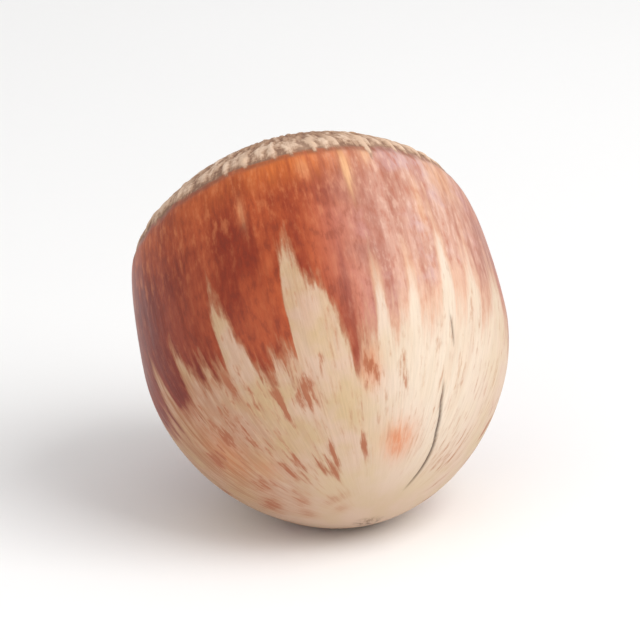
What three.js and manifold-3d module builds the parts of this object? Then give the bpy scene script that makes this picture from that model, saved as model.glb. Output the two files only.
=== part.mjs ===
// A hazelnut in its shell: one closed body that lies at a slant on the small flat spot it rests on.
//
// The nut is first described about its own axis: +Z runs to the middle of the scar where it grew in
// its husk, -Z to the pointed end, and the centre lies in the plane of the widest ring. It is then
// turned, leaned over and set down, so that the middle of the flat spot is the origin.

import * as THREE from 'three';
import { mergeVertices } from 'three/addons/utils/BufferGeometryUtils.js';
import Module from 'manifold-3d';

// Driving dimensions, in millimetres. A reach is a distance from the centre along the nut's axis.
const BELLY_RADIUS = 11;       // the widest ring, as the mean of its oval
const APEX_REACH = 11.7;       // down to the pointed end, without its tip
const SIDES_REACH = 21.6;      // up to where the sides would meet if the scar didn't cut them off
const SCAR_REACH = 12.1;       // up to the middle of the scar
const SCAR_BOW = 0.045;        // the scar's dome drops by this times the squared distance from its middle
const TIP_HEIGHT = 0.15;       // how far the small point stands out of the rounded end
const REST_DEPTH = 0.36;       // how much of the round side the flat spot takes away

// Shares of the radius.
const BELLY_OVAL = 0.03;       // how far the oval ring goes past its mean radius
const SCAR_TILT = 0.075;       // slope of the scar's plane against the widest ring's plane
const RIBS = [                 // faint lengthwise ribs: how many go round, how high, and where they start
  { count: 3, height: 0.004, start: 40 },
  { count: 7, height: 0.003, start: 15 },
  { count: 11, height: 0.0025, start: 5 },
];

// Outline exponents: 2 is an ellipse, more is squarer and less is more pointed.
const SIDES_EXPONENT = 2.1;
const APEX_EXPONENT = 1.87;
const SHOULDER_EXPONENT = 28;  // how tightly the edge between the sides and the scar is rounded

// Directions round the nut's axis and the way it leans, in degrees.
const OVAL_LONGITUDE = 48;     // towards the wide side of the oval ring
const SCAR_TILT_LONGITUDE = 90;
const TIP_HALF_WIDTH = 4;      // seen from the centre
const TIP_OFFSET = 5;          // the point stands this far from the end of the axis
const TIP_LONGITUDE = 85;
const SPIN = 6;
const LEAN_BACK = 42;          // of the scar towards +Y
const LEAN_LEFT = 16;          // of the scar towards -X

// The nut's centre above the middle of its flat spot, in millimetres.
const CENTRE = { x: -0.6, y: 0.71, z: 10.67 };

// How finely the surface is cut into facets.
const SEGMENTS_ROUND = 72;
const RINGS = 44;

const radians = THREE.MathUtils.degToRad;

// Distance from the centre to the sides, in a direction at an angle `polar` from the scar's middle.
function sidesRadius(polar, longitude) {
  const oval = 1 + BELLY_OVAL * Math.cos(2 * (longitude - radians(OVAL_LONGITUDE)));
  const upper = Math.cos(polar) >= 0;
  const reach = upper ? SIDES_REACH : APEX_REACH;
  const exponent = upper ? SIDES_EXPONENT : APEX_EXPONENT;
  const across = Math.sin(polar) / (BELLY_RADIUS * oval);
  const along = Math.abs(Math.cos(polar)) / reach;
  return (across ** exponent + along ** exponent) ** (-1 / exponent);
}

// Distance from the centre to the scar's low dome, a paraboloid whose plane is slightly tilted.
function scarRadius(polar, longitude) {
  const tilt = SCAR_TILT * Math.cos(longitude - radians(SCAR_TILT_LONGITUDE));
  const climb = Math.cos(polar) + tilt * Math.sin(polar);
  const spread = 4 * SCAR_BOW * SCAR_REACH * Math.sin(polar) ** 2;
  return (2 * SCAR_REACH) / (climb + Math.sqrt(climb ** 2 + spread));
}

// The ribs are strongest round the belly and run out at the tip and at the scar.
function ribShare(polar, longitude) {
  const fade = Math.sin(polar) ** 2 * (1 - Math.max(0, Math.cos(polar)));
  let share = 0;
  for (const rib of RIBS) {
    share += rib.height * Math.cos(rib.count * (longitude - radians(rib.start)));
  }
  return fade * share;
}

// How much of the small point there is in this direction: 1 at its top, 0 well away from it.
function tipShare(polar, longitude) {
  const tipPolar = Math.PI - radians(TIP_OFFSET);
  const turn = longitude - radians(TIP_LONGITUDE);
  const closeness = Math.cos(polar) * Math.cos(tipPolar)
    + Math.sin(polar) * Math.sin(tipPolar) * Math.cos(turn);
  const away = Math.acos(THREE.MathUtils.clamp(closeness, -1, 1));
  return Math.exp(-((away / radians(TIP_HALF_WIDTH)) ** 2));
}

function nutRadius(polar, longitude) {
  const sides = sidesRadius(polar, longitude);
  const scar = scarRadius(polar, longitude);
  const whole = (sides ** -SHOULDER_EXPONENT + scar ** -SHOULDER_EXPONENT) ** (-1 / SHOULDER_EXPONENT);
  return whole * (1 + ribShare(polar, longitude)) + TIP_HEIGHT * tipShare(polar, longitude);
}

// A unit sphere whose points are each pushed out to the nut's surface.
function nutGeometry() {
  const geometry = new THREE.SphereGeometry(1, SEGMENTS_ROUND, RINGS);
  geometry.rotateX(Math.PI / 2);
  const position = geometry.getAttribute('position');
  const point = new THREE.Vector3();
  for (let i = 0; i < position.count; i += 1) {
    point.fromBufferAttribute(position, i).normalize();
    const polar = Math.acos(THREE.MathUtils.clamp(point.z, -1, 1));
    point.multiplyScalar(nutRadius(polar, Math.atan2(point.y, point.x)));
    position.setXYZ(i, point.x, point.y, point.z);
  }
  return geometry;
}

// From the nut's own axis to the way it lies: turned, leaned back, leaned left and set down.
function restPlacement() {
  const placement = new THREE.Matrix4().makeTranslation(CENTRE.x, CENTRE.y, CENTRE.z);
  placement.multiply(new THREE.Matrix4().makeRotationY(-radians(LEAN_LEFT)));
  placement.multiply(new THREE.Matrix4().makeRotationX(-radians(LEAN_BACK)));
  return placement.multiply(new THREE.Matrix4().makeRotationZ(radians(SPIN)));
}

function toSolid(wasm, geometry) {
  const bare = geometry.clone();
  bare.deleteAttribute('normal');
  bare.deleteAttribute('uv');
  const merged = mergeVertices(bare, 1e-4);
  return new wasm.Manifold(new wasm.Mesh({
    numProp: 3,
    vertProperties: merged.getAttribute('position').array,
    triVerts: withoutSlivers(merged.getIndex().array),
  }));
}

// The sphere's poles leave triangles with two corners in one place, which a solid can't hold.
function withoutSlivers(index) {
  const kept = [];
  for (let i = 0; i < index.length; i += 3) {
    const [a, b, c] = [index[i], index[i + 1], index[i + 2]];
    if (a !== b && b !== c && c !== a) {
      kept.push(a, b, c);
    }
  }
  return Uint32Array.from(kept);
}

function toGeometry(solid) {
  const mesh = solid.getMesh();
  const geometry = new THREE.BufferGeometry();
  geometry.setAttribute('position', new THREE.BufferAttribute(mesh.vertProperties, 3));
  geometry.setIndex(new THREE.BufferAttribute(mesh.triVerts, 1));
  geometry.computeVertexNormals();
  return geometry;
}

// Everything under the floor plane z = 0 is cut away, which leaves the flat spot.
function cutRestSpot(wasm, nut) {
  const below = new THREE.BoxGeometry(4 * BELLY_RADIUS, 4 * BELLY_RADIUS, 4 * REST_DEPTH);
  below.translate(0, 0, -2 * REST_DEPTH);
  return toGeometry(toSolid(wasm, nut).subtract(toSolid(wasm, below)));
}

function shellMaterial() {
  return new THREE.MeshStandardMaterial({ color: 0x9c5a3c, roughness: 0.45, metalness: 0 });
}

const wasm = await Module();
wasm.setup();

const hazelnut = new THREE.Mesh(
  cutRestSpot(wasm, nutGeometry().applyMatrix4(restPlacement())),
  shellMaterial(),
);
hazelnut.name = 'hazelnut';

const part = new THREE.Group();
part.add(hazelnut);

export default part;
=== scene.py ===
"""A hazelnut in its shell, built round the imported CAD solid.

The CAD solid sets the nut's size, its lean and the flat spot it rests on. This script replaces it with
one fine mesh of the same form, adds the relief that the CAD leaves out (the wrinkled scar with its ring
of pale teeth, fine lengthwise ribs, shallow dents, two hairline cracks), and paints it with a node material.

Shapes are worked out in the nut's own axes, in millimetres: +Z runs to the middle of the scar where the
nut grew in its husk and -Z to the pointed end. A place on the surface is its polar angle from the middle
of the scar and its longitude round the axis, and the side at longitude -90 faces the camera.
"""
import math

import bpy
import numpy as np
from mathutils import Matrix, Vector


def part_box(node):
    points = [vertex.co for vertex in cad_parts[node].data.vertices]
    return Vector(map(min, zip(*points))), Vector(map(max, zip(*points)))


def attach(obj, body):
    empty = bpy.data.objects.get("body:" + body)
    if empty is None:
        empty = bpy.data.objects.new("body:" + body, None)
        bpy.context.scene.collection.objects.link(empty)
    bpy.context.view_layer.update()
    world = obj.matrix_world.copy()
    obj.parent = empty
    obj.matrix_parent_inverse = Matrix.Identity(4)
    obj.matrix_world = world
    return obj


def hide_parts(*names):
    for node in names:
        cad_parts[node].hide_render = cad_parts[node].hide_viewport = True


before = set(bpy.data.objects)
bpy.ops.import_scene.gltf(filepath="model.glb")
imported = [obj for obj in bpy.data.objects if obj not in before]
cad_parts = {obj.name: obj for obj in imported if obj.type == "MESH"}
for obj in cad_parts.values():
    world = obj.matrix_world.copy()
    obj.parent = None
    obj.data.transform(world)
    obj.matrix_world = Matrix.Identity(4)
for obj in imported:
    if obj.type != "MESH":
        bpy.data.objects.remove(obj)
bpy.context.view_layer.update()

MM = 0.001
FULL_TURN = 2 * math.pi

# The nut's form, as the CAD model has it: millimetres, shares of the radius, exponents and degrees.
BELLY_RADIUS = 11.0
APEX_REACH = 11.7
SIDES_REACH = 21.6
SCAR_REACH = 12.1
SCAR_BOW = 0.045
TIP_HEIGHT = 0.15
BELLY_OVAL = 0.03
SCAR_TILT = 0.075
RIBS = ((3, 0.004, 40), (7, 0.003, 15), (11, 0.0025, 5))
SIDES_EXPONENT = 2.1
APEX_EXPONENT = 1.87
SHOULDER_EXPONENT = 28
OVAL_LONGITUDE = 48
SCAR_TILT_LONGITUDE = 90
TIP_HALF_WIDTH = 4
TIP_OFFSET = 5
TIP_LONGITUDE = 85
SPIN = 6
LEAN_BACK = 42
LEAN_LEFT = 16
CENTRE = np.array([-0.6, 0.71, 10.67])

# How the mesh is cut: it stays under 200,000 triangles. Columns are the finer way, as the grain runs
# from the scar to the pointed end.
COLUMNS = 640
SCAR_ROWS = 78
SHELL_ROWS = 74
SCAR_ROWS_END = 64          # degrees from the middle of the scar
STEPS_PER_DEGREE = 20       # how finely the crowding of the columns is worked out

# Relief, in millimetres.
SCAR_RADIUS = 11.2          # from the middle of the scar to its edge, along the surface
RIDGE_HEIGHT = 0.22         # of the tallest ridges on the scar
RIDGE_WAVER = 0.26          # how far a ridge sways to either side
MEAN_RIDGE = 0.4            # the share of a full ridge that lies level with the CAD solid's scar
STEP_DEPTH = 0.06           # of the groove just outside the scar's edge
FINE_RIB_HEIGHT = 0.014
DENT_HEIGHT = 0.05

# The scar's edge, in degrees of the polar angle: how far it wanders and how deep it is nibbled.
EDGE_WANDER = 1.1
EDGE_NIBBLE = 0.7

# Hairline cracks: depth and half width in millimetres, how dark they are, and places on the way as
# longitude and polar angle in degrees. The mesh columns lie closest together along the first one.
CRACKS = (
    (0.16, 0.065, 0.95, ((-43, 127), (-41, 134), (-37, 144), (-32, 153), (-30, 166))),
    (0.035, 0.05, 0.65, ((-43, 106), (-42, 109), (-41, 113), (-40, 117))),
)


# ---------------------------------------------------------------- the nut's form

def sides_radius(polar, longitude):
    """Distance from the centre to the sides."""
    oval = 1 + BELLY_OVAL * np.cos(2 * (longitude - math.radians(OVAL_LONGITUDE)))
    upper = np.cos(polar) >= 0
    reach = np.where(upper, SIDES_REACH, APEX_REACH)
    exponent = np.where(upper, SIDES_EXPONENT, APEX_EXPONENT)
    across = np.sin(polar) / (BELLY_RADIUS * oval)
    along = np.abs(np.cos(polar)) / reach
    return (across**exponent + along**exponent) ** (-1 / exponent)


def scar_radius(polar, longitude):
    """Distance from the centre to the scar's low dome, a slightly tilted paraboloid."""
    tilt = SCAR_TILT * np.cos(longitude - math.radians(SCAR_TILT_LONGITUDE))
    climb = np.cos(polar) + tilt * np.sin(polar)
    spread = 4 * SCAR_BOW * SCAR_REACH * np.sin(polar) ** 2
    return 2 * SCAR_REACH / (climb + np.sqrt(climb**2 + spread))


def tip_gap(polar, longitude):
    """Angle between a direction and that of the small point, in degrees."""
    tip_polar = math.pi - math.radians(TIP_OFFSET)
    turn = longitude - math.radians(TIP_LONGITUDE)
    closeness = np.cos(polar) * math.cos(tip_polar) + np.sin(polar) * math.sin(tip_polar) * np.cos(turn)
    return np.degrees(np.arccos(np.clip(closeness, -1, 1)))


def nut_radius(polar, longitude):
    """Distance from the centre to the smooth surface, as the CAD solid has it."""
    sides = sides_radius(polar, longitude) ** -SHOULDER_EXPONENT
    scar = scar_radius(polar, longitude) ** -SHOULDER_EXPONENT
    whole = (sides + scar) ** (-1 / SHOULDER_EXPONENT)
    fade = np.sin(polar) ** 2 * (1 - np.maximum(0, np.cos(polar)))
    ribs = sum(h * np.cos(n * (longitude - math.radians(start))) for n, h, start in RIBS)
    tip = TIP_HEIGHT * np.exp(-((tip_gap(polar, longitude) / TIP_HALF_WIDTH) ** 2))
    return whole * (1 + fade * ribs) + tip


def scar_edge(longitude):
    """Polar angle at which the sides meet the scar, found by halving the gap between two guesses."""
    low = np.full_like(longitude, math.radians(40))
    high = np.full_like(longitude, math.radians(75))
    for _ in range(30):
        middle = (low + high) / 2
        on_scar = scar_radius(middle, longitude) < sides_radius(middle, longitude)
        low = np.where(on_scar, middle, low)
        high = np.where(on_scar, high, middle)
    return (low + high) / 2


# ---------------------------------------------------------------- noise and soft masks

def smooth(low, high, value):
    """0 below low, 1 above high, and a soft slope between them."""
    share = np.clip((value - low) / (high - low), 0, 1)
    return share * share * (3 - 2 * share)


def bump(value, centre, half_width):
    """A rounded bump, 1 at its centre."""
    return np.exp(-(((value - centre) / half_width) ** 2))


def angle_gap(longitude, degrees_east):
    """How far a longitude is past a given one, in degrees from -180 to 180."""
    gap = np.degrees(longitude) - degrees_east
    return (gap + 180) % 360 - 180


def lattice_noise(seed, longitude, along, cells_round, cells_along):
    """Smooth noise from -1 to 1. It has no seam round the nut, and along goes from 0 to 1."""
    lattice = np.random.default_rng(seed).uniform(-1, 1, (cells_along + 2, cells_round))
    column = longitude / FULL_TURN * cells_round
    row = np.clip(along, 0, 1) * cells_along
    left, top = np.floor(column), np.floor(row)
    across, down = column - left, row - top
    across, down = across**2 * (3 - 2 * across), down**2 * (3 - 2 * down)
    left, top = left.astype(int) % cells_round, top.astype(int)
    right = (left + 1) % cells_round
    upper = lattice[top, left] * (1 - across) + lattice[top, right] * across
    lower = lattice[top + 1, left] * (1 - across) + lattice[top + 1, right] * across
    return upper * (1 - down) + lower * down


# ---------------------------------------------------------------- relief

def ragged_edge(longitude):
    """The scar's edge wanders a little."""
    zero = np.zeros_like(longitude)
    wander = lattice_noise(11, longitude, zero, 14, 1)
    nibble = lattice_noise(12, longitude, zero, 60, 1)
    return scar_edge(longitude) + math.radians(EDGE_WANDER) * wander + math.radians(EDGE_NIBBLE) * nibble


def coarse_bands():
    """Rings of broad ridges: share of the way to the edge, then spacing, half width, half length, height."""
    for band in range(9):
        middle = 0.1 + 0.095 * band
        yield middle, 0.6 + 0.2 * middle, 0.24 + 0.1 * middle, 0.8 + 0.5 * middle, 0.5 + 0.2 * middle
    yield 0.91, 1.0, 0.4, 1.35, 1.0


def fine_bands():
    """Rings of narrow crests that fill the gaps and run over the broad ridges."""
    for band in range(16):
        middle = 0.05 + 0.06 * band
        yield middle, 0.5, 0.13 + 0.03 * middle, 0.6 + 0.3 * middle, 1.0


def ridge_field(seed, longitude, share, bands):
    """(height of the tallest ridge at each place, that ridge's own tone), both from 0 to 1."""
    waver = RIDGE_WAVER * lattice_noise(seed, longitude, share / 1.2, 26, 15)
    turned = longitude + waver / (SCAR_RADIUS * np.maximum(share, 0.05))
    chance = np.random.default_rng(seed)
    height, tone = np.zeros_like(share), np.full_like(share, 0.5)
    for middle, spacing, half_width, half_length, top in bands:
        count = max(7, round(FULL_TURN * SCAR_RADIUS * middle / spacing))
        shift, slide, breadth, length, rise, own_tone = chance.uniform(0, 1, (6, count))
        column = turned / FULL_TURN * count
        for step in (-1, 0, 1):
            cell = np.floor(column).astype(int) + step
            ridge = cell % count
            across = (column - cell - 0.2 - 0.6 * shift[ridge]) * spacing * share / middle
            along = (share - middle) * SCAR_RADIUS + 0.9 * (slide[ridge] - 0.5)
            across = across / (half_width * (0.65 + 0.75 * breadth[ridge]))
            along = along / (half_length * (0.65 + 0.7 * length[ridge]))
            body = np.clip(1 - np.abs(across) ** 1.7 - np.abs(along) ** 1.8, 0, 1) ** 0.85
            body = body * top * (0.5 + 0.5 * rise[ridge])
            tone = np.where(body > height, own_tone[ridge], tone)
            height = np.maximum(height, body)
    return height, tone


def scar_ridges(longitude, share):
    """Broad ridges with narrow crests on and between them, flatter round the middle of the scar."""
    broad, tone = ridge_field(22, longitude, share, coarse_bands())
    narrow, _ = ridge_field(23, longitude, share, fine_bands())
    narrow = narrow * (1 - smooth(0.95, 1.0, share))
    worn = 0.85 + 0.3 * lattice_noise(24, longitude, share / 1.2, 9, 5)
    return (0.75 * broad + 0.42 * narrow) * worn * (0.55 + 0.45 * smooth(0.15, 0.5, share)), tone


def crack_gap(polar, longitude, route):
    """Distance to a crack in millimetres across it, and how far the crack is open there, 0 to 1."""
    places = np.array(route, float)
    line = np.interp(np.degrees(polar), places[:, 1], places[:, 0])
    waver = 0.5 * lattice_noise(41, longitude * 0, polar / math.pi, 3, 40)
    gap = np.radians(angle_gap(longitude, 0) - line - waver) * BELLY_RADIUS * np.sin(polar)
    first, last = places[0, 1], places[-1, 1]
    middle, reach = (first + last) / 2, (last - first) / 2
    opening = np.clip(1 - np.abs((np.degrees(polar) - middle) / reach) ** 3, 0, 1)
    return np.abs(gap), opening


def cracks(polar, longitude):
    """(depth in millimetres, darkness from 0 to 1) of the hairline cracks."""
    depth, darkness = np.zeros_like(polar), np.zeros_like(polar)
    for full_depth, half_width, full_darkness, route in CRACKS:
        gap, opening = crack_gap(polar, longitude, route)
        depth += full_depth * bump(gap, 0, half_width) * opening
        darkness = np.maximum(darkness, full_darkness * bump(gap, 0, 1.5 * half_width) * opening)
    return depth, darkness


def surface_fields(polar, longitude):
    """Everything that varies over the nut: its relief in millimetres, and what the material reads."""
    edge = ragged_edge(longitude)
    past_edge = np.degrees(polar - edge)
    share = np.minimum(polar / edge, 1.2)
    ridges, ridge_tone = scar_ridges(longitude, share)
    # The ridges that reach past the edge are the scar's teeth, so they count as scar.
    on_scar = np.maximum(1 - smooth(-0.5, 0.4, past_edge), smooth(0.03, 0.25, ridges))
    on_shell = smooth(-0.2, 1.5, past_edge)
    step = bump(past_edge, 0.9, 0.9) * (1 - on_scar)

    ribs = lattice_noise(51, longitude, polar / math.pi, 84, 5)
    ribs += 0.6 * lattice_noise(52, longitude, polar / math.pi, 190, 8)
    dents = lattice_noise(53, longitude, polar / math.pi, 9, 6)
    away_from_poles = np.sin(polar) ** 2
    crack_depth, crack_darkness = cracks(polar, longitude)

    relief = RIDGE_HEIGHT * on_scar * (ridges - MEAN_RIDGE)
    relief += on_shell * away_from_poles * (FINE_RIB_HEIGHT * ribs + DENT_HEIGHT * dents)
    relief -= STEP_DEPTH * step + crack_depth
    return {
        "relief": relief,
        "past_edge": past_edge,
        "on_scar": on_scar,
        "ridges": ridges,
        "ridge_tone": ridge_tone,
        "crack": crack_darkness,
        "cream": cream_level(polar, longitude),
        "stain": patches(polar, longitude, STAINS + far_side_stains()),
        "blush": patches(polar, longitude, BLUSHES),
        # Light streaks, and one painted highlight among them.
        "light": patches(polar, longitude, LIGHT_STREAKS_AND_HIGHLIGHT),
        "wine": wine_share(polar, longitude),
        # Paler skin on the lit side, partly a painted sheen of the key light.
        "pale_and_sheen": pale_and_sheen_share(polar, longitude),
        # Tan on the sides, and towards the point a painted shade.
        "tan": tan_and_shade_share(polar, longitude),
        "glow": glow_share(longitude),
        "tip": 1 - smooth(1, 6, tip_gap(polar, longitude)),
    }


# ---------------------------------------------------------------- where the colours lie

# Cream tongues that run up from the pointed end: the longitude and polar angle of the tip, and how many
# degrees of longitude the tongue reaches to the left and to the right where it joins the cream. The first
# is the broad one in the middle of the near side, and the second is the right half of its blunt tip.
TONGUES = (
    (-98, 81.5, 2.2, 16),
    (-94.5, 82, 3.5, 5.5),
    (-122.5, 91, 2, 7),
    (-142, 100, 3, 4),
    (-158, 92, 4, 4),
    (-70, 92, 2, 3),
    (-58, 90, 2, 3),
    (-43, 74, 2.5, 3.5),
    (-30, 86, 4, 5),
    (-12, 84, 6, 8),
)

TONGUE_BLUNTNESS = 0.6      # exponent of a tongue's outline: 1 is a straight-sided wedge, less is blunter

# How far down the brown reaches where there is no tongue: longitude and polar angle.
BROWN_REACH = ((-180, 112), (-152, 117), (-141, 114), (-133, 108), (-127, 114), (-118, 115), (-112, 119),
               (-105, 119), (-84, 121), (-77, 118), (-69, 109), (-50, 106), (-20, 99), (10, 100))
FAR_BROWN_REACH = 107       # the same for the far side, as its mean polar angle
FAR_BROWN_WANDER = 12       # and how far it goes up and down from there

# Patches of colour: longitude, polar angle, half width and half height in degrees, and strength.
# Red-brown stains in the cream.
STAINS = (
    (-112, 127, 2, 9, 1.0), (-102, 126, 4.5, 5.5, 1.0), (-127, 116, 2.5, 6, 1.0), (-134, 124, 3, 7, 0.7),
    (-143, 128, 4, 6, 0.7), (-157, 131, 6, 4, 1.0), (-129, 149, 3, 5, 0.95), (-120, 147, 2.5, 5, 0.9),
    (-110, 151, 2.5, 4.5, 1.0), (-104, 154, 2.5, 6, 1.0), (-100, 149, 2, 5, 0.9), (-82, 148, 2.2, 6, 0.75),
    (-152, 147, 9, 3.5, 0.8), (-170, 152, 14, 5, 0.8), (-120, 165, 25, 3, 0.55), (-93, 118, 1.2, 4, 0.5),
    (-63, 128, 1.5, 6, 0.4), (-87, 138, 1.5, 4, 0.35), (-136, 126, 24, 18, 0.42), (-76, 124, 3, 5, 0.85),
    (-20, 150, 14, 8, 0.35), (-146, 159, 11, 3.5, 0.6), (-166, 163, 14, 4, 0.6), (-128, 170, 24, 3, 0.5),
    (-126, 152, 12, 6, 0.4), (-140, 156, 10, 6, 0.4),
)
# Soft orange and pink spots in the cream.
BLUSHES = ((-76, 123, 4, 6, 1.0), (-61, 148, 9.5, 6.2, 1.0), (-150, 133, 10, 8, 0.5),
           (-138, 143, 8, 5, 0.3), (35, 135, 7, 6, 0.8), (120, 128, 5, 7, 0.7))
# Light streaks in the brown, most of them just under the scar, and one broad painted highlight.
LIGHT_STREAKS_AND_HIGHLIGHT = (
    (-71, 60, 1.6, 8, 0.85), (-62, 55, 3, 3, 0.5), (-85, 58, 2, 3, 0.35), (-107, 68, 1.2, 5, 0.4),
    # The broad round patch at -30, 58 is a painted highlight on the upper right, not a streak.
    (-58, 94, 1.5, 7, 0.7), (-70, 98, 1.5, 8, 0.5), (-47, 70, 2, 9, 0.3), (-30, 58, 7, 7, 0.4),
    (40, 62, 2, 6, 0.8), (112, 64, 1.5, 8, 0.9), (165, 63, 2, 6, 0.7),
)

# The tan that the point keeps is a painted shade: the cream is darker towards the pointed end.
SHARE_AT_POINT = 0.35       # how pale and how tan the shell is where all longitudes meet


def patches(polar, longitude, table):
    """The strongest of the patches at each place, 0 to 1."""
    degrees_down = np.degrees(polar)
    strongest = np.zeros_like(polar)
    for place, down, half_width, half_height, strength in table:
        gap = angle_gap(longitude, place)
        patch = strength * bump(gap, 0, half_width) * bump(degrees_down, down, half_height)
        strongest = np.maximum(strongest, patch)
    return strongest


def far_side_tongues():
    """Tongues for the side that faces away from the camera, scattered in the style of the near side."""
    chance = np.random.default_rng(62)
    return tuple(
        (place + chance.uniform(-4, 4), chance.uniform(72, 100), chance.uniform(2, 7), chance.uniform(2, 8))
        for place in range(14, 178, 15)
    )


def far_side_stains():
    """Stains for the far side."""
    chance = np.random.default_rng(63)
    return tuple(
        (place + chance.uniform(-5, 5), chance.uniform(118, 156), chance.uniform(1.5, 4),
         chance.uniform(3, 8), chance.uniform(0.5, 1))
        for place in range(5, 180, 7)
    )


def brown_reach(longitude):
    """Polar angle down to which the shell is brown, with a deep notch at each cream tongue."""
    places = np.array(BROWN_REACH, float)
    degrees_east = np.degrees(longitude)
    near_side = np.interp(degrees_east, places[:, 0], places[:, 1])
    wander = lattice_noise(61, longitude, np.zeros_like(longitude), 16, 1)
    far_side = FAR_BROWN_REACH + FAR_BROWN_WANDER * wander
    far = smooth(0, 25, degrees_east) * (1 - smooth(160, 180, degrees_east))
    reach = near_side * (1 - far) + far_side * far
    notched = reach
    for tip_longitude, tip_polar, left, right in TONGUES + far_side_tongues():
        gap = angle_gap(longitude, tip_longitude)
        rise = np.clip(1 - np.where(gap < 0, -gap / left, gap / right), 0, 1)
        notched = np.minimum(notched, reach - (reach - tip_polar) * rise**TONGUE_BLUNTNESS)
    return notched


def cream_level(polar, longitude):
    """Degrees past the end of the brown. Above 0 the shell is cream, and below 0 it is brown."""
    return np.degrees(polar) - brown_reach(longitude)


def wine_share(polar, longitude):
    """0 to 1: how dark and wine-coloured the brown is."""
    below_glow = smooth(58, 80, np.degrees(polar))
    near = bump(angle_gap(longitude, -156), 0, 36)
    clouds = 0.5 + 0.5 * lattice_noise(71, longitude, polar / math.pi, 7, 4)
    far = smooth(75, 110, np.abs(angle_gap(longitude, -90))) * clouds
    return np.maximum(near, 0.8 * far) * below_glow


def pale_and_sheen_share(polar, longitude):
    """0 to 1: how pale and pinkish the shell is, to the right of the middle of the near side, where the key
    light falls.
    It is partly paler skin and partly a painted sheen of that light. The share levels out at the pointed
    end, where all longitudes meet."""
    side = smooth(-93, -62, angle_gap(longitude, 0)) * bump(angle_gap(longitude, -42), 0, 41)
    meeting = smooth(138, 172, np.degrees(polar))
    return side * (1 - meeting) + SHARE_AT_POINT * meeting


def tan_and_shade_share(polar, longitude):
    """0 to 1: how far the cream turns to tan, on the sides away from the pale one and in the broad tongue.
    This share levels out at the pointed end too, and the tan it keeps there is a painted shade that darkens
    the cream towards the point."""
    degrees_down = np.degrees(polar)
    sides = bump(angle_gap(longitude, -158), 0, 36) + 0.7 * bump(angle_gap(longitude, 110), 0, 40)
    tongue = 0.42 * bump(angle_gap(longitude, -96), 0, 7) * bump(degrees_down, 94, 14)
    sides = sides * (1 - 0.2 * smooth(132, 150, degrees_down))
    # Towards the point the cream keeps some tan all round: a painted shade, darker towards the pointed end.
    meeting = smooth(157, 177, degrees_down)
    return sides * (1 - meeting) + SHARE_AT_POINT * meeting + tongue


def glow_share(longitude):
    """0 to 1: how far the brown turns to orange near the scar, least where it is wine-coloured or pale."""
    near = 0.17 + 0.8 * bump(angle_gap(longitude, -84), 0, 24)
    far = 0.35 + 0.4 * bump(angle_gap(longitude, 80), 0, 60)
    return np.maximum(near, far * smooth(60, 120, np.abs(angle_gap(longitude, -90))))


# ---------------------------------------------------------------- the mesh

def column_longitudes():
    """Longitudes of the mesh columns, closer together along the long crack."""
    even = np.linspace(-math.pi, math.pi, 360 * STEPS_PER_DEGREE + 1)
    crack_longitude = np.mean([place for place, _ in CRACKS[0][3]])
    density = 1 + 3.5 * bump(np.degrees(even), crack_longitude, 11)
    passed = np.concatenate([[0], np.cumsum((density[1:] + density[:-1]) / 2)])
    return np.interp(np.arange(COLUMNS) / COLUMNS, passed / passed[-1], even)


def row_polars():
    """Polar angles of the mesh rows between the two poles, closer together on the scar."""
    split = math.radians(SCAR_ROWS_END)
    scar = np.linspace(0, split, SCAR_ROWS + 1)[1:]
    shell = np.linspace(split, math.pi, SHELL_ROWS + 1)[1:-1]
    return np.concatenate([scar, shell])


def rest_matrix():
    """Turns the nut's own axes to the way it lies: spun, leaned back, then leaned left."""
    spin, back, left = (math.radians(a) for a in (SPIN, -LEAN_BACK, -LEAN_LEFT))
    about_z = [[math.cos(spin), -math.sin(spin), 0], [math.sin(spin), math.cos(spin), 0], [0, 0, 1]]
    about_x = [[1, 0, 0], [0, math.cos(back), -math.sin(back)], [0, math.sin(back), math.cos(back)]]
    about_y = [[math.cos(left), 0, math.sin(left)], [0, 1, 0], [-math.sin(left), 0, math.cos(left)]]
    return np.array(about_y) @ np.array(about_x) @ np.array(about_z)


def grid_faces(rows, columns):
    """Quads between neighbouring rows, and a fan of triangles at each pole. The poles come last."""
    faces = []
    top, bottom = rows * columns, rows * columns + 1
    for column in range(columns):
        beside = (column + 1) % columns
        faces.append((top, column, beside))
        for row in range(rows - 1):
            here, below = row * columns, (row + 1) * columns
            faces.append((here + column, below + column, below + beside, here + beside))
        last = (rows - 1) * columns
        faces.append((bottom, last + beside, last + column))
    return faces


def surface_points(polar, longitude, relief):
    """(points where the nut lies, points in the nut's own axes), in millimetres."""
    direction = np.stack([np.sin(polar) * np.cos(longitude), np.sin(polar) * np.sin(longitude),
                          np.cos(polar)], -1)
    own = direction * nut_radius(polar, longitude)[:, None]
    lying = (direction * (nut_radius(polar, longitude) + relief)[:, None]) @ rest_matrix().T + CENTRE
    lying[:, 2] = np.maximum(lying[:, 2], 0)
    return lying, own


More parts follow.
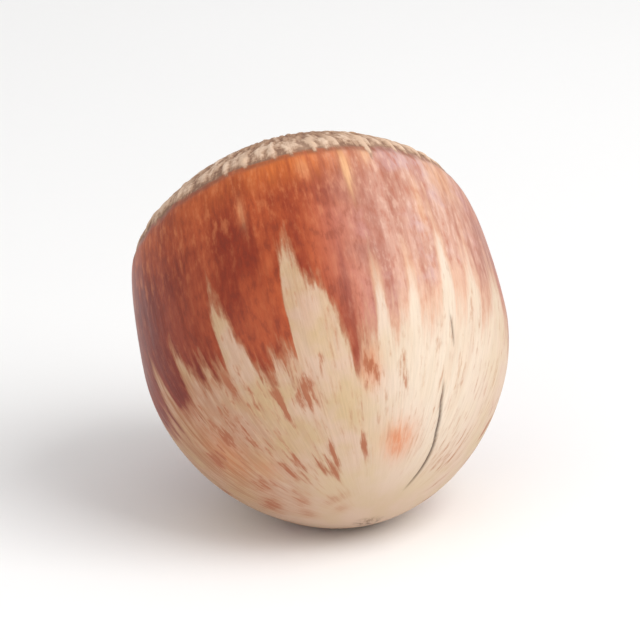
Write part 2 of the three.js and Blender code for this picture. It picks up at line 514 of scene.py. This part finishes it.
def build_nut():
    """The nut as one closed mesh, with the fields that its material reads."""
    polars, longitudes = row_polars(), column_longitudes()
    polar, longitude = (grid.ravel() for grid in np.meshgrid(polars, longitudes, indexing="ij"))
    polar = np.append(polar, [0, math.pi])
    longitude = np.append(longitude, [0, 0])
    fields = surface_fields(polar, longitude)
    lying, own = surface_points(polar, longitude, fields.pop("relief"))

    mesh = bpy.data.meshes.new("hazelnut_shell")
    mesh.from_pydata((lying * MM).tolist(), [], grid_faces(len(polars), len(longitudes)))
    mesh.polygons.foreach_set("use_smooth", [True] * len(mesh.polygons))
    for name, values in fields.items():
        mesh.attributes.new(name, "FLOAT", "POINT").data.foreach_set("value", values.astype(np.float32))
    place = mesh.attributes.new("nut_place", "FLOAT_VECTOR", "POINT")
    place.data.foreach_set("vector", own.astype(np.float32).ravel())
    mesh.update()
    nut = bpy.data.objects.new("hazelnut_shell", mesh)
    bpy.context.scene.collection.objects.link(nut)
    return nut


# ---------------------------------------------------------------- material

class Painter:
    """Short calls that add linked nodes to one material."""

    def __init__(self, name):
        self.material = bpy.data.materials.new(name)
        self.material.use_nodes = True
        self.tree = self.material.node_tree
        self.tree.nodes.clear()

    def add(self, kind, inputs, **settings):
        """A new node. An input given as a socket is linked, and any other value is set."""
        node = self.tree.nodes.new(kind)
        for name, value in settings.items():
            setattr(node, name, value)
        for key, value in inputs.items():
            if isinstance(value, bpy.types.NodeSocket):
                self.tree.links.new(value, node.inputs[key])
            else:
                node.inputs[key].default_value = value
        return node

    def math(self, operation, *values, clamp=False):
        return self.add("ShaderNodeMath", dict(enumerate(values)), operation=operation,
                        use_clamp=clamp).outputs[0]

    def field(self, name):
        """One of the mesh's own fields, by name."""
        return self.add("ShaderNodeAttribute", {}, attribute_name=name).outputs["Fac"]

    def slope(self, value, low, high, low_value=0.0, high_value=1.0):
        """A soft step from low_value to high_value as value goes from low to high."""
        inputs = {"Value": value, "From Min": low, "From Max": high, "To Min": low_value,
                  "To Max": high_value}
        return self.add("ShaderNodeMapRange", inputs, interpolation_type="SMOOTHSTEP").outputs[0]

    def noise(self, vector, scale, detail=2.0, roughness=0.5):
        inputs = {"Vector": vector, "Scale": scale, "Detail": detail, "Roughness": roughness}
        return self.add("ShaderNodeTexNoise", inputs).outputs["Fac"]

    def mix(self, factor, first, second, blend="MIX"):
        """The first colour where the factor is 0, and the second blended over it where it is 1."""
        node = self.add("ShaderNodeMix", {}, data_type="RGBA", blend_type=blend)
        for key, value in (("Factor_Float", factor), ("A_Color", first), ("B_Color", second)):
            socket = next(s for s in node.inputs if s.identifier == key)
            if isinstance(value, bpy.types.NodeSocket):
                self.tree.links.new(value, socket)
            else:
                socket.default_value = value
        return next(s for s in node.outputs if s.identifier == "Result_Color")


def rgb(red, green, blue):
    """A colour in linear light, with full alpha."""
    return (red, green, blue, 1.0)


def meridian_places(paint):
    """(a maker of noise coordinates along the meridians, the calm near the pointed end, the place in mm)."""
    place = paint.add("ShaderNodeAttribute", {}, attribute_name="nut_place").outputs["Vector"]
    aim = paint.add("ShaderNodeVectorMath", {0: place}, operation="NORMALIZE").outputs[0]
    parts = paint.add("ShaderNodeSeparateXYZ", {0: aim})
    polar = paint.math("ARCCOSINE", parts.outputs["Z"])
    longitude = paint.math("ARCTAN2", parts.outputs["Y"], parts.outputs["X"])
    east, north = paint.math("COSINE", longitude), paint.math("SINE", longitude)

    def coordinates(round_scale, along_scale, shift):
        inputs = {
            "X": paint.math("MULTIPLY", east, round_scale),
            "Y": paint.math("MULTIPLY", north, round_scale),
            "Z": paint.math("MULTIPLY_ADD", polar, along_scale, shift),
        }
        return paint.add("ShaderNodeCombineXYZ", inputs).outputs[0]

    calm = paint.slope(polar, math.radians(138), math.radians(174), 1.0, 0.15)
    return coordinates, calm, place


def grain_noises(paint):
    """The noises that the colours and bumps share, from broad to fine. The meridians crowd together at the
    pointed end, so the noises that follow them fade towards their middle value, 0.5, on the way there."""
    coordinates, calm, place = meridian_places(paint)

    def along_grain(round_scale, along_scale, shift):
        noise = paint.noise(coordinates(round_scale, along_scale, shift), 1.0, 3.0, 0.6)
        return paint.math("MULTIPLY_ADD", paint.math("SUBTRACT", noise, 0.5), calm, 0.5)

    return {
        "streaks": along_grain(9, 1.2, 0.0),
        "fine": along_grain(30, 3.4, 20.0),
        "stipple": along_grain(28, 12.0, 60.0),
        "hair": along_grain(95, 7.0, 40.0),
        "mottle": paint.noise(place, 0.35, 3.0, 0.55),
        "crumb": paint.noise(place, 3.5, 2.0, 0.6),
    }


def brown_colour(paint, grain):
    """The brown skin: orange by the scar, red-brown below it, and wine-dark on one side."""
    past_edge = paint.field("past_edge")
    clouds = paint.math("MULTIPLY", paint.math("ADD", grain["streaks"], grain["mottle"]), 0.5)
    base = paint.mix(paint.slope(clouds, 0.38, 0.62), rgb(0.25, 0.032, 0.011), rgb(0.42, 0.08, 0.024))
    wine = paint.math("MULTIPLY", paint.field("wine"), paint.slope(grain["mottle"], 0.25, 0.65, 0.65, 1.0))
    dusk = paint.mix(paint.slope(clouds, 0.42, 0.6), rgb(0.15, 0.018, 0.011), rgb(0.225, 0.039, 0.023))
    base = paint.mix(wine, base, dusk)
    base = paint.mix(paint.slope(grain["stipple"], 0.48, 0.33, 0.0, 0.35), base, rgb(0.14, 0.024, 0.013))
    glow = paint.math("MULTIPLY", paint.slope(past_edge, 14.0, 2.0),
                      paint.slope(grain["fine"], 0.32, 0.6, 0.4, 1.0))
    base = paint.mix(paint.math("MULTIPLY", glow, paint.field("glow")), base, rgb(0.62, 0.16, 0.035))
    flecks = paint.math("MULTIPLY", paint.slope(grain["stipple"], 0.46, 0.74),
                        paint.slope(past_edge, 34.0, 5.0, 0.15, 0.55))
    return paint.mix(flecks, base, rgb(0.64, 0.21, 0.08))


def salmon_and_sheen_colour(paint, grain):
    """The pale side of the brown skin, partly a painted sheen of the light on that side: salmon clouded with
    rose, lilac and a browner red. The lilac clouds are painted sheen.
    """
    base = paint.mix(paint.slope(grain["streaks"], 0.35, 0.65),
                     rgb(0.49, 0.235, 0.165), rgb(0.6, 0.35, 0.265))
    # Lilac clouds on the pale side: a painted sheen.
    base = paint.mix(paint.slope(grain["mottle"], 0.48, 0.68, 0.0, 0.7), base, rgb(0.58, 0.4, 0.4))
    base = paint.mix(paint.slope(grain["stipple"], 0.5, 0.3, 0.0, 0.6), base, rgb(0.46, 0.15, 0.085))
    return paint.mix(paint.slope(grain["stipple"], 0.5, 0.7, 0.0, 0.55), base, rgb(0.74, 0.52, 0.42))


def skin_colour(paint, grain):
    """Brown skin that turns salmon on the pale side, partly a painted sheen, with light streaks under the
    scar and one painted highlight among them.
    """
    # Salmon on the pale side, partly a painted sheen of the key light.
    pale_and_sheen = paint.math("MULTIPLY", paint.field("pale_and_sheen"), paint.slope(grain["streaks"], 0.3, 0.7, 0.8, 1.0))
    base = paint.mix(pale_and_sheen, brown_colour(paint, grain), salmon_and_sheen_colour(paint, grain))
    # Light streaks, and the painted highlight among them.
    light = paint.math("MULTIPLY", paint.field("light"), paint.slope(grain["fine"], 0.35, 0.6, 0.3, 0.9))
    return paint.mix(light, base, rgb(0.84, 0.5, 0.25))


def cream_colour(paint, grain):
    """The cream part: beige with faint pinkish and greenish drifts and thin lengthwise lines, tan or paler
    on its sides, the paler side partly a painted sheen, with spots, stains and dark specks on the small
    point."""
    base = paint.mix(paint.slope(grain["mottle"], 0.35, 0.65), rgb(0.56, 0.4, 0.23), rgb(0.61, 0.43, 0.32))
    base = paint.mix(paint.slope(grain["streaks"], 0.52, 0.75, 0.0, 0.5), base, rgb(0.52, 0.27, 0.17))
    # Tan on the sides; near the small point it is a painted shade.
    tan = paint.math("MULTIPLY", paint.field("tan"), paint.slope(grain["fine"], 0.62, 0.38, 0.4, 0.95))
    base = paint.mix(tan, base, rgb(0.37, 0.155, 0.072))
    # Paler cream on the lit side, partly a painted sheen.
    pale_and_sheen = paint.math("MULTIPLY", paint.field("pale_and_sheen"), paint.slope(grain["streaks"], 0.7, 0.4, 0.7, 0.97))
    base = paint.mix(pale_and_sheen, base, rgb(0.71, 0.59, 0.475))
    base = paint.mix(paint.slope(grain["fine"], 0.58, 0.75, 0.0, 0.3), base, rgb(0.46, 0.24, 0.14))
    blush = paint.math("MULTIPLY", paint.field("blush"), paint.slope(grain["stipple"], 0.36, 0.6, 0.6, 1.0))
    base = paint.mix(blush, base, rgb(0.64, 0.22, 0.095))
    speckle = paint.math("ADD", paint.field("stain"), paint.slope(grain["stipple"], 0.33, 0.67, -0.26, 0.26))
    speckle = paint.math("ADD", speckle, paint.slope(grain["fine"], 0.33, 0.67, -0.26, 0.26))
    base = paint.mix(paint.slope(speckle, 0.05, 0.7, 0.0, 0.55), base, rgb(0.46, 0.22, 0.12))
    base = paint.mix(paint.slope(speckle, 0.35, 0.9, 0.0, 0.85), base, rgb(0.36, 0.11, 0.05))
    specks = paint.math("MULTIPLY", paint.field("tip"), paint.slope(grain["crumb"], 0.42, 0.6, 0.2, 0.9))
    return paint.mix(specks, base, rgb(0.16, 0.08, 0.045))


def scar_colour(paint, grain):
    """The scar: dark brown between the ridges, taupe to tan on them, and paler towards the edge."""
    rough = paint.math("ADD", paint.field("ridges"), paint.slope(grain["hair"], 0.3, 0.7, -0.07, 0.07))
    rough = paint.math("ADD", rough, paint.slope(grain["crumb"], 0.3, 0.7, -0.12, 0.12))
    colour = paint.mix(paint.slope(rough, -0.05, 0.28), rgb(0.165, 0.07, 0.037), rgb(0.36, 0.2, 0.12))
    colour = paint.mix(paint.slope(grain["mottle"], 0.52, 0.68, 0.0, 0.6), colour, rgb(0.36, 0.22, 0.15))
    tone = paint.field("ridge_tone")
    crest = paint.mix(paint.slope(tone, 0.15, 0.85), rgb(0.46, 0.27, 0.16), rgb(0.64, 0.46, 0.34))
    colour = paint.mix(paint.slope(rough, 0.26, 0.6), colour, crest)
    tall = paint.mix(paint.slope(tone, 0.25, 0.6), rgb(0.67, 0.41, 0.22), rgb(0.83, 0.67, 0.52))
    colour = paint.mix(paint.slope(rough, 0.55, 0.85), colour, tall)
    rim = paint.math("MULTIPLY", paint.slope(paint.field("past_edge"), -14.0, -4.0, 0.0, 0.7),
                     paint.slope(rough, 0.05, 0.55, 0.2, 1.0))
    return paint.mix(rim, colour, rgb(0.74, 0.54, 0.4))


def ragged_level(paint, grain):
    """Degrees past the end of the brown, roughened by the grain and softened where the shell is pale, the
    side that carries the painted sheen.
    """
    level = paint.field("cream")
    for name, swing in (("streaks", 30.0), ("fine", 19.0), ("stipple", 13.0)):
        level = paint.math("ADD", level, paint.math("MULTIPLY_ADD", grain[name], swing, -swing / 2))
    softness = paint.math("MULTIPLY_ADD", paint.field("pale_and_sheen"), 2.6, 1.4)
    return paint.math("DIVIDE", level, softness)


def shell_colour(paint, grain, level):
    """Brown skin that breaks up into tan and then cream, with a dark line where it meets the scar."""
    # The tan is paler on the pale side, partly a painted sheen.
    tan = paint.mix(paint.field("pale_and_sheen"), rgb(0.4, 0.17, 0.085), rgb(0.68, 0.42, 0.29))
    skin = paint.mix(paint.slope(level, -5.0, 0.5, 0.0, 0.8), skin_colour(paint, grain), tan)
    skin = paint.mix(paint.slope(level, -1.5, 3.0), skin, cream_colour(paint, grain))
    lines = paint.slope(grain["hair"], 0.3, 0.7, 0.95, 1.04)
    lines = paint.add("ShaderNodeCombineColor", {0: lines, 1: lines, 2: lines}).outputs[0]
    skin = paint.mix(1.0, skin, lines, blend="MULTIPLY")
    past_edge = paint.field("past_edge")
    line = paint.math("MULTIPLY", paint.slope(past_edge, 3.0, 0.8),
                      paint.slope(grain["fine"], 0.3, 0.6, 0.15, 0.65))
    return paint.mix(line, skin, rgb(0.2, 0.06, 0.025))


def nut_material():
    """The whole nut's material: scar, shell and cracks, dull on the scar and satin on the shell."""
    paint = Painter("hazelnut_shell")
    grain = grain_noises(paint)
    level = ragged_level(paint, grain)
    on_scar = paint.field("on_scar")
    surface = paint.mix(on_scar, shell_colour(paint, grain, level), scar_colour(paint, grain))
    surface = paint.mix(paint.field("crack"), surface, rgb(0.07, 0.035, 0.022))

    roughness = paint.slope(level, -3.0, 3.0, 0.42, 0.5)
    roughness = paint.math("ADD", roughness, paint.slope(on_scar, 0.2, 0.8, 0.0, 0.35))
    roughness = paint.math("ADD", roughness, paint.slope(grain["mottle"], 0.3, 0.7, -0.05, 0.05))
    heights = paint.math("MULTIPLY_ADD", grain["hair"], 0.6, paint.math("MULTIPLY", grain["fine"], 0.4))
    depth = paint.add("ShaderNodeBump", {"Strength": 0.4, "Distance": 0.00006, "Height": heights})
    shader = paint.add("ShaderNodeBsdfPrincipled", {
        "Base Color": surface, "Roughness": roughness, "Normal": depth.outputs[0],
        "Specular IOR Level": 0.22, "Coat Weight": 0.04, "Coat Roughness": 0.3,
    })
    paint.add("ShaderNodeOutputMaterial", {"Surface": shader.outputs[0]})
    return paint.material


# ---------------------------------------------------------------- the studio

# Lengths in metres, angles in degrees, powers in watts.
FLOOR_WIDTH = 3.0
WORLD_STRENGTH = 0.7
HORIZON_SHARE = 0.92        # how bright the world is at the horizon, against higher up
HORIZON_FADE = 0.25         # the sine of the elevation at which it is fully bright
# Softboxes by name: azimuth, elevation, distance, size and power.
SOFTBOXES = {
    "key": (62, 46, 0.3, 0.22, 0.66),
    "fill": (-35, 10, 0.35, 0.3, 0.22),
}
CAMERA_ELEVATION = 20
CAMERA_DISTANCE = 0.32
CAMERA_LENS = 300           # millimetres


def build_floor():
    """A wide, nearly white floor with a fine tooth and very faint clouds."""
    mesh = bpy.data.meshes.new("floor")
    half = FLOOR_WIDTH / 2
    mesh.from_pydata([(-half, -half, 0), (half, -half, 0), (half, half, 0), (-half, half, 0)], [],
                     [(0, 1, 2, 3)])
    floor = bpy.data.objects.new("floor", mesh)
    bpy.context.scene.collection.objects.link(floor)
    paint = Painter("floor")
    place = paint.add("ShaderNodeTexCoord", {}).outputs["Object"]
    cloud = paint.noise(place, 9.0, 3.0, 0.5)
    tooth = paint.noise(place, 900.0, 2.0, 0.5)
    colour = paint.mix(paint.slope(cloud, 0.35, 0.65), rgb(0.91, 0.905, 0.9), rgb(0.93, 0.925, 0.92))
    depth = paint.add("ShaderNodeBump", {"Strength": 0.15, "Distance": 0.0001, "Height": tooth})
    shader = paint.add("ShaderNodeBsdfPrincipled", {
        "Base Color": colour, "Roughness": paint.slope(tooth, 0.3, 0.7, 0.75, 0.85),
        "Normal": depth.outputs[0],
    })
    paint.add("ShaderNodeOutputMaterial", {"Surface": shader.outputs[0]})
    mesh.materials.append(paint.material)


def add_softbox(name, target, azimuth, elevation, distance, size, power):
    """A square light that faces the nut. Azimuth 0 is the camera's side, and 90 is to its right, at +X."""
    data = bpy.data.lights.new(name, "AREA")
    data.size, data.energy = size, power
    light = bpy.data.objects.new(name, data)
    bpy.context.scene.collection.objects.link(light)
    a, e = math.radians(azimuth), math.radians(elevation)
    away = Vector((math.sin(a) * math.cos(e), -math.cos(a) * math.cos(e), math.sin(e)))
    light.location = target + away * distance
    light.rotation_euler = away.to_track_quat("Z", "Y").to_euler()


def light_scene(target):
    """White light from all round, a touch dimmer low down so that it meets the floor, and softboxes."""
    world = bpy.data.worlds.new("studio")
    world.use_nodes = True
    background = world.node_tree.nodes["Background"]
    background.inputs["Strength"].default_value = WORLD_STRENGTH
    ramp = world.node_tree.nodes.new("ShaderNodeMapRange")
    for name, value in (("From Min", 0.0), ("From Max", HORIZON_FADE), ("To Min", HORIZON_SHARE),
                        ("To Max", 1.0)):
        ramp.inputs[name].default_value = value
    aim = world.node_tree.nodes.new("ShaderNodeTexCoord")
    parts = world.node_tree.nodes.new("ShaderNodeSeparateXYZ")
    world.node_tree.links.new(aim.outputs["Generated"], parts.inputs[0])
    world.node_tree.links.new(parts.outputs["Z"], ramp.inputs["Value"])
    world.node_tree.links.new(ramp.outputs[0], background.inputs["Color"])
    bpy.context.scene.world = world
    for name, settings in SOFTBOXES.items():
        add_softbox(name, target, *settings)
    bpy.context.scene.view_settings.view_transform = "Standard"


def add_camera(target):
    """Long lens at the photograph's angle, so that the nut fills about six tenths of the frame."""
    elevation = math.radians(CAMERA_ELEVATION)
    data = bpy.data.cameras.new("camera")
    data.lens = CAMERA_LENS
    data.clip_start, data.clip_end = 0.01, 10
    camera = bpy.data.objects.new("camera", data)
    bpy.context.scene.collection.objects.link(camera)
    away = Vector((0, -math.cos(elevation), math.sin(elevation)))
    camera.location = target + away * CAMERA_DISTANCE
    camera.rotation_euler = away.to_track_quat("Z", "Y").to_euler()
    bpy.context.scene.camera = camera


low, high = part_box("hazelnut")
middle = (low + high) / 2
add_camera(middle)
light_scene(middle)
build_floor()

nut = build_nut()
nut.data.materials.append(nut_material())
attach(nut, "root")
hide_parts("hazelnut")
